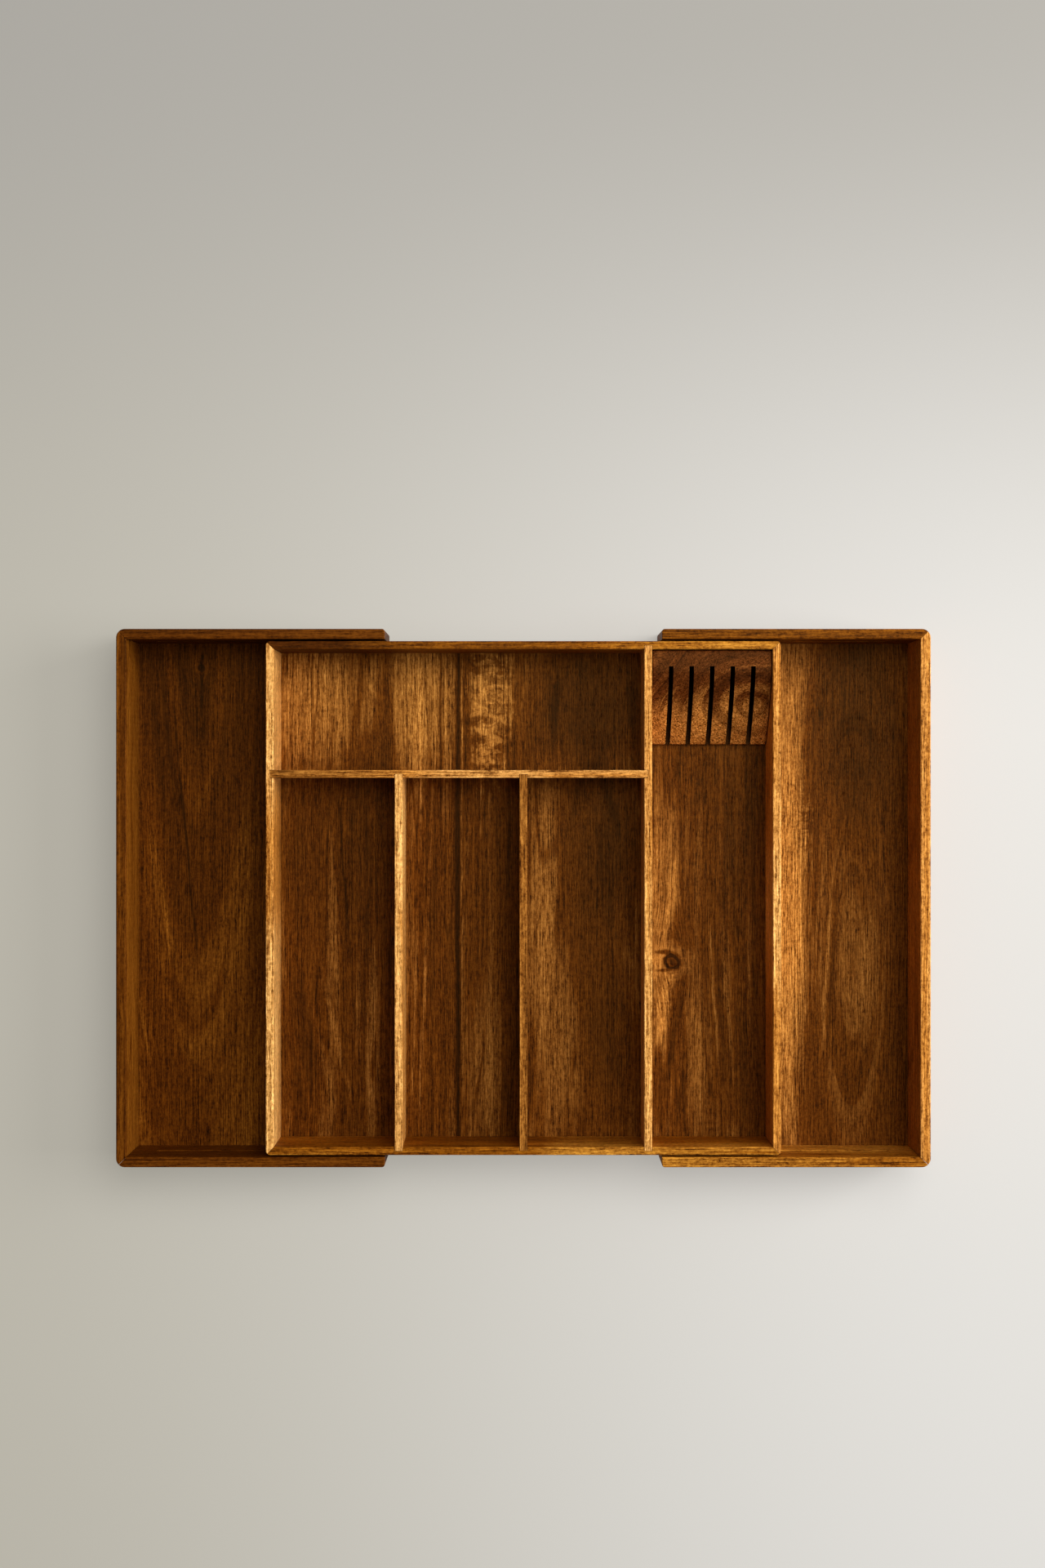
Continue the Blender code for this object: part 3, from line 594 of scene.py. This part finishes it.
def finish_middle_floor():
    """The middle floor: a wide board on the left and one on the right of a dark seam."""
    floor = Board("middle_floor", "YXZ")
    floor.knot(-0.0476, 0.1052, 0.0054)
    floor.flame(0.0, SEAM_X, 0.40, 0.0030, -0.45)
    floor.flame(0.0, SEAM_X, 0.40, 0.0014, -0.5)
    floor.flame(0.06, SEAM_X + 0.0025, 0.16, 0.0012, 0.3)

    # Lighter and darker patches in the bays, the first of them painted light on the back bay, then
    # streaks left of the seam
    # Painted light: the back bay is lighter on its left, where more light reaches along the open
    # bay
    floor.flame(0.14, -0.090, 0.06, 0.12, 0.22)
    floor.flame(0.02, -0.152, 0.09, 0.034, -0.16)
    floor.flame(-0.10, -0.108, 0.08, 0.020, 0.10)
    floor.flame(0.02, -0.068, 0.07, 0.020, -0.18)
    floor.flame(0.03, 0.045, 0.08, 0.045, -0.16)
    floor.flame(0.00, 0.100, 0.08, 0.018, 0.12)
    floor.flame(-0.12, 0.152, 0.06, 0.022, -0.12)
    floor.flame(0.04, 0.154, 0.07, 0.020, -0.10)
    floor.flame(0.04, 0.110, 0.07, 0.020, 0.14)
    floor.flame(-0.10, 0.062, 0.07, 0.022, -0.18)
    floor.flame(-0.11, -0.025, 0.07, 0.022, 0.10)
    floor.flame(-0.11, 0.026, 0.07, 0.022, 0.12)
    floor.flame(-0.10, 0.114, 0.07, 0.024, 0.14)
    floor.flame(0.03, 0.066, 0.07, 0.020, -0.18)
    floor.flame(-0.10, -0.155, 0.07, 0.022, -0.22)
    floor.flame(0.02, -0.113, 0.08, 0.022, -0.13)
    floor.flame(0.11, -0.100, 0.06, 0.014, -0.14)
    floor.flame(0.10, -0.0640, 0.15, 0.016, 0.20)
    floor.flame(0.13, -0.1550, 0.09, 0.026, 0.10)
    floor.flame(0.11, -0.0725, 0.08, 0.0012, 0.4)
    floor.flame(0.12, -0.0590, 0.08, 0.0010, -0.35)
    floor.flame(-0.04, -0.0690, 0.16, 0.0018, 0.2, lean=0.045)
    floor.flame(-0.06, -0.0760, 0.12, 0.0014, 0.12, lean=0.03)
    floor.flame(0.00, -0.1260, 0.11, 0.0012, -0.25, lean=-0.075)
    floor.flame(0.00, -0.1360, 0.09, 0.007, 0.12, lean=-0.06)
    floor.flame(-0.10, -0.145, 0.07, 0.004, 0.16, lean=-0.22)
    floor.flame(-0.11, -0.130, 0.06, 0.003, 0.16, lean=-0.24)
    floor.flame(-0.12, -0.158, 0.05, 0.003, 0.14, lean=-0.22)

    # Curly figure right of the seam, at the back
    floor.curly(0.13, -0.0240, 0.075, 0.022, 0.4)
    floor.flame(0.13, -0.0230, 0.09, 0.020, 0.2)
    floor.flame(0.12, -0.0130, 0.08, 0.0012, 0.3)
    floor.flame(0.13, -0.0090, 0.08, 0.0016, 0.3)
    floor.flame(0.12, -0.0300, 0.08, 0.0010, 0.25)
    floor.flame(0.13, -0.0405, 0.09, 0.004, -0.2)
    for along, across, length, width in CURL_BLOTCHES:
        floor.flame(along, across, length, width, BLOTCH_DARKER)
    floor.flame(0.100, -0.1080, 0.024, 0.022, -0.10)
    floor.flame(0.13, 0.045, 0.060, 0.055, -0.38)
    floor.flame(0.13, 0.014, 0.060, 0.020, -0.08)

    # The third bay: a light flame that leans
    floor.flame(-0.005, 0.0150, 0.11, 0.012, 0.25, lean=0.04)

    # The right bay: flames above and below the knot, and thin streaks beside them
    floor.flame(-0.0430, 0.0930, 0.09, 0.009, 0.12)
    floor.flame(-0.0025, 0.1046, 0.040, 0.0055, 0.24, lean=0.15)
    floor.flame(-0.0806, 0.0988, 0.040, 0.0065, 0.26, lean=0.15)
    floor.flame(-0.0950, 0.1069, 0.045, 0.0040, -0.2, lean=0.17)
    floor.flame(-0.0405, 0.0985, 0.0022, 0.0080, -0.45)
    floor.flame(-0.0535, 0.0990, 0.0018, 0.0070, -0.4)
    floor.flame(-0.0470, 0.0945, 0.0040, 0.0035, 0.35)
    floor.flame(-0.0719, 0.1352, 0.080, 0.0016, 0.2, lean=-0.07)
    floor.flame(-0.0892, 0.1456, 0.060, 0.0018, 0.18, lean=-0.08)
    floor.flame(-0.0820, 0.1400, 0.060, 0.0026, -0.15, lean=-0.08)
    floor.flame(-0.0546, 0.1601, 0.130, 0.0016, 0.15)
    floor.finish("brown", shift=-0.02, heart=(0.05, 0.07), tilt=0.02, spacing=0.008, band=0.005)


# The knife block's slots: the middle one's place, how many, their pitch, half a width, back ends
SLOTS_X = 0.13
SLOT_COUNT = 5
SLOT_PITCH = 0.01415
SLOT_HALF_WIDTH = 0.00165
SLOTS_BACK = 0.1595
# How much darker the slots are painted, as shade in their recesses
SLOT_SHADE_DARKER = -1.2


def paint_slot_shade(block):
    """Painted shade in the slots: their sides and floors are darkened."""
    net = block.net
    aside = net.calc("SUBTRACT", block.spot[0], SLOTS_X)
    in_width = net.calc("LESS_THAN", net.calc("PINGPONG", aside, SLOT_PITCH / 2), SLOT_HALF_WIDTH)
    in_row = net.calc("LESS_THAN", net.calc("ABSOLUTE", aside), SLOT_PITCH * SLOT_COUNT / 2)
    in_front = net.calc("LESS_THAN", block.spot[1], SLOTS_BACK)
    slot_shade = net.calc("MULTIPLY", in_width, net.calc("MULTIPLY", in_row, in_front))
    block.shift = net.calc("MULTIPLY_ADD", slot_shade, SLOT_SHADE_DARKER, block.shift)


def finish_loose_and_hidden():
    """The knife block and the guide pins."""
    block = Board("knife_block", "ZXY")
    block.fade("Y", 0.155, 0.112, 0.66)
    paint_slot_shade(block)
    block.finish("chestnut", shift=-0.14, heart=(0.1579, -0.1368), tilt=0.1, sway=0.034,
                 spacing=0.0042, parts={"Tone Part": 0.45})
    for pin in ("front_left_pin", "front_right_pin", "back_left_pin", "back_right_pin"):
        Board(pin, "YXZ").finish("dowel")


def make_floor():
    """A matt floor with painted light falloff, darker to the left and to the back. Where the camera
    sees it, half its colour glows, for soft shadows.
    """
    bpy.ops.mesh.primitive_plane_add(size=FLOOR_SIZE, location=(0, 0, FLOOR_LEVEL))
    floor = bpy.context.object
    floor.name = "studio_floor"
    material = bpy.data.materials.new("studio_floor")
    material.use_nodes = True
    net = Net(material.node_tree)
    shader = material.node_tree.nodes["Principled BSDF"]
    shader.inputs["Roughness"].default_value = 0.95
    shader.inputs["Specular IOR Level"].default_value = 0.05
    x, y = net.split(net.add("ShaderNodeTexCoord").outputs["Object"])[:2]
    # Painted light falloff: lighter to the right, darker to the left and to the back
    tone = net.mix(net.remap(x, *FLOOR_SIDES), FLOOR_LEFT_SHADED, FLOOR_RIGHT_LIT)
    tone = net.mix(net.remap(y, *FLOOR_DEPTHS), tone, FLOOR_BACK_SHADED)
    path = net.add("ShaderNodeLightPath").outputs
    seen = path["Is Camera Ray"]
    lit_share = net.mix(seen, WHITE, LIT_SHARE)
    glow_share = net.mix(seen, BLACK, GLOW_SHARE)
    net.tree.links.new(net.mix(1.0, tone, lit_share, "MULTIPLY"), shader.inputs["Base Color"])
    net.tree.links.new(net.mix(1.0, tone, glow_share, "MULTIPLY"), shader.inputs["Emission Color"])
    shader.inputs["Emission Strength"].default_value = 1
    floor.data.materials.append(material)


def make_lamp(name, place, size, power):
    """A square soft lamp that faces the tray."""
    lamp = bpy.data.lights.new(name, "AREA")
    lamp.size = size
    lamp.energy = power
    holder = bpy.data.objects.new(name, lamp)
    holder.location = place
    holder.rotation_euler = (-Vector(place)).to_track_quat("-Z", "Y").to_euler()
    bpy.context.scene.collection.objects.link(holder)


def make_light():
    """A low soft key from the right, a softer lamp high above it and a weak even fill."""
    make_lamp("key", KEY_PLACE, KEY_SIZE, KEY_POWER)
    make_lamp("top", TOP_PLACE, TOP_SIZE, TOP_POWER)
    world = bpy.data.worlds.new("studio")
    world.use_nodes = True
    net = Net(world.node_tree)
    background = world.node_tree.nodes["Background"]
    path = net.add("ShaderNodeLightPath").outputs
    seen = path["Is Camera Ray"]
    net.tree.links.new(net.mix(seen, FILL_LIGHT, BACKDROP), background.inputs["Color"])
    background.inputs["Strength"].default_value = 1
    bpy.context.scene.world = world


def make_camera():
    camera = bpy.data.cameras.new("camera")
    camera.lens = CAMERA_LENS
    camera.sensor_width = SENSOR_WIDTH
    camera_object = bpy.data.objects.new("camera", camera)
    camera_object.location = CAMERA_PLACE
    bpy.context.scene.collection.objects.link(camera_object)
    bpy.context.scene.camera = camera_object
    bpy.context.scene.view_settings.view_transform = "Standard"


make_effects()
finish_extensions()
finish_middle_tray()
finish_loose_and_hidden()
make_floor()
make_light()
make_camera()
